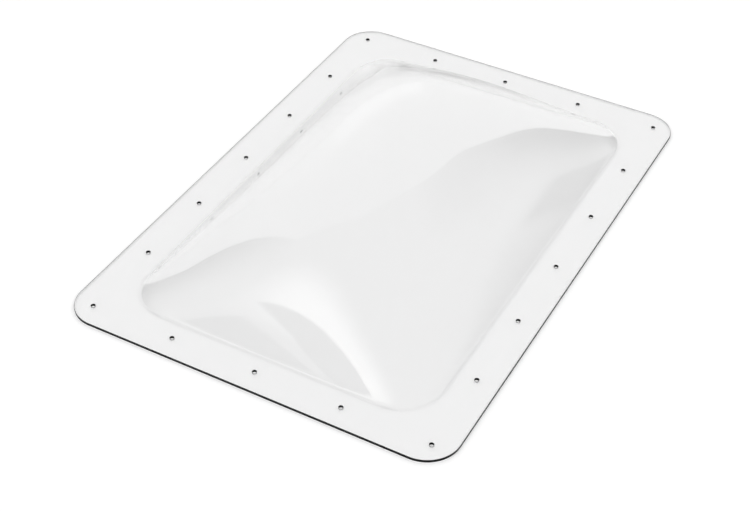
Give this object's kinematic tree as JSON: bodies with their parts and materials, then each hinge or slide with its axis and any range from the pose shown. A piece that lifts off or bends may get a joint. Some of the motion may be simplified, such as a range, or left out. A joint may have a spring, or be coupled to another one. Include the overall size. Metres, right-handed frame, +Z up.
{
  "type": "rv skylight",
  "caption": "Clear bubble skylight for a caravan or camper roof: one formed sheet with a raised dome and a flat, pre-drilled screw-down flange with rounded corners.",
  "frame": {"origin": "centre of the flange's underside, the plane that lies on the roof", "axes": "+Z up out of the roof, +Y along the long side, +X across the short side"},
  "size_m": [0.4572, 0.6604, 0.1016],
  "materials": {
    "clear_sheet": "clear polycarbonate sheet, glossy as extruded, cut edges routed"
  },
  "bodies": {
    "root": {"skylight_dome": "clear_sheet"}
  },
  "joints": []
}
